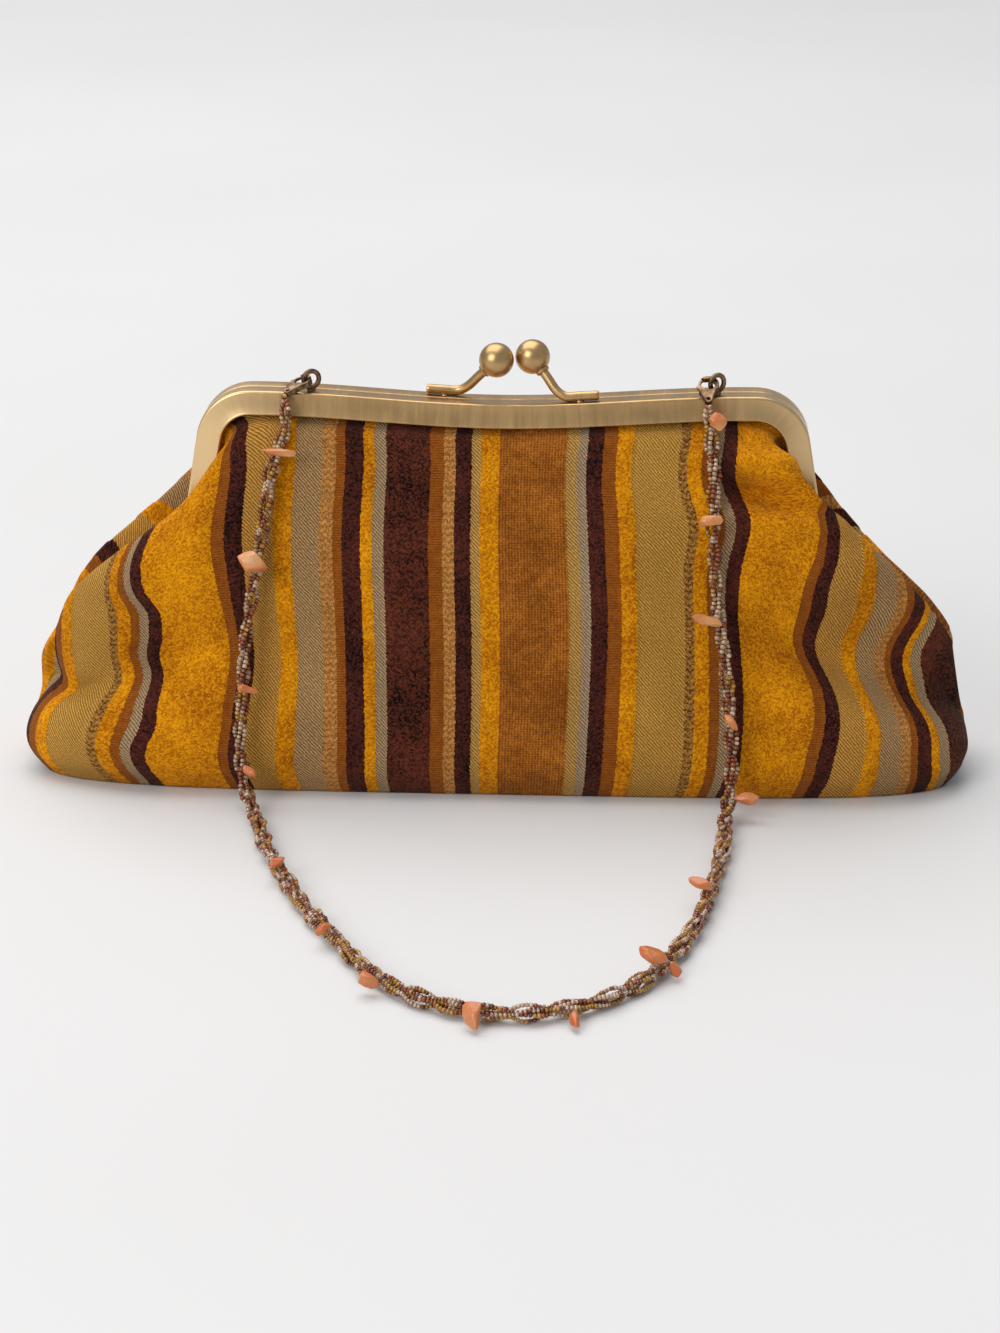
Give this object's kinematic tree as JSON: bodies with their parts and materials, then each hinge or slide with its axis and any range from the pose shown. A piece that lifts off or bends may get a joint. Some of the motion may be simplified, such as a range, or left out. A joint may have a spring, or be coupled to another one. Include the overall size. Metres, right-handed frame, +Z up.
{
  "type": "beaded clutch",
  "caption": "Soft striped fabric clutch in a hinged metal frame with a ball kiss lock, and a removable beaded rope handle with coral chips held by lobster clasps.",
  "frame": {"origin": "on the flat base, under the middle of the frame, where the bag rests on the floor", "axes": "+Z up, the front with the handle faces -Y, and +X runs to the right along the frame as seen from the front"},
  "size_m": [0.308, 0.2336, 0.1416],
  "materials": {
    "cloth": "striped velvet pile and twill",
    "brass": "brushed antique brass",
    "bronze": "dark antique bronze, satin",
    "beads": "glossy silver-lined and opaque seed beads",
    "coral": "polished"
  },
  "bodies": {
    "bag": {"pouch": "cloth", "frame_front": "brass", "frame_back": "brass", "hinge_rivet_left": "brass", "hinge_rivet_right": "brass", "frame_loop_left": "bronze", "frame_loop_right": "bronze", "clasp_body_left": "bronze", "clasp_body_right": "bronze", "bead_rope": "beads", "coral_chip_01": "coral", "coral_chip_02": "coral", "coral_chip_03": "coral", "coral_chip_04": "coral", "coral_chip_05": "coral", "coral_chip_06": "coral", "coral_chip_07": "coral", "coral_chip_08": "coral", "coral_chip_09": "coral", "coral_chip_10": "coral", "coral_chip_11": "coral", "coral_chip_12": "coral", "coral_chip_13": "coral", "coral_chip_14": "coral", "coral_chip_15": "coral", "coral_chip_16": "coral", "coral_chip_17": "coral"},
    "lever_left": {"clasp_lever_left": "bronze"},
    "lever_right": {"clasp_lever_right": "bronze"}
  },
  "joints": [
    {"name": "lever_left_hinge", "type": "hinge", "parent": "bag", "child": "lever_left", "pos_m": [-0.06638, -0.00484, 0.12779], "axis": [0.224, 0.2688, -0.9368], "range_deg": [0, 25], "stiffness_Nm_per_rad": 0.001, "springref_deg": -20.05},
    {"name": "lever_right_hinge", "type": "hinge", "parent": "bag", "child": "lever_right", "pos_m": [0.06285, -0.00681, 0.12798], "axis": [0, 0.53, -0.848], "range_deg": [0, 25], "stiffness_Nm_per_rad": 0.001, "springref_deg": -20.05}
  ]
}
